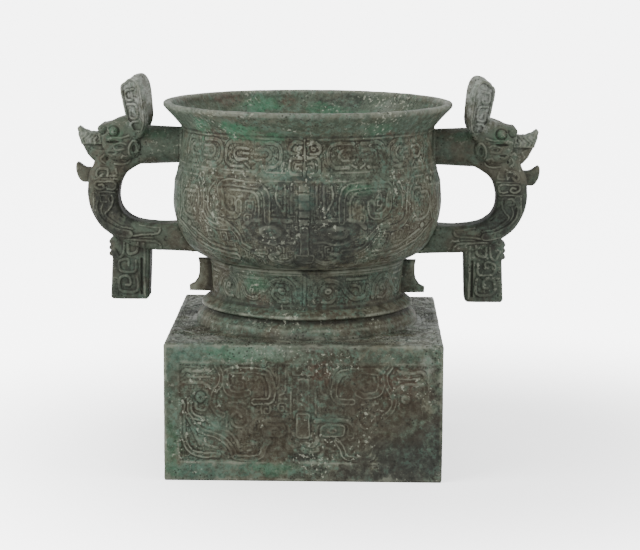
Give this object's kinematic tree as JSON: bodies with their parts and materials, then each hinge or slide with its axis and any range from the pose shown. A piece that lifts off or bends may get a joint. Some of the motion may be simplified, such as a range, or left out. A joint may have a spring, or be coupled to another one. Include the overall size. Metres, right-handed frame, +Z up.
{
  "type": "bronze gui food vessel",
  "caption": "Ritual bronze food bowl on a ring foot and a hollow square plinth, with beast-headed handles and hooked pendants, cast all over with masks and dragons.",
  "frame": {"origin": "centre of the plinth's underside, on the surface that it stands on", "axes": "+Z up, +X from the bowl's axis towards the right-hand handle, -Y towards the viewer of the front"},
  "size_m": [0.3384, 0.21, 0.2769],
  "materials": {
    "vessel_bronze": "old cast bronze under a grey-green patina with bright green patches and red-brown stains",
    "handle_bronze": "old cast bronze under a dark grey-green patina, paler on the ears and the beak"
  },
  "bodies": {
    "root": {"vessel_with_plinth": "vessel_bronze", "handle_left": "handle_bronze", "handle_right": "handle_bronze"}
  },
  "joints": []
}
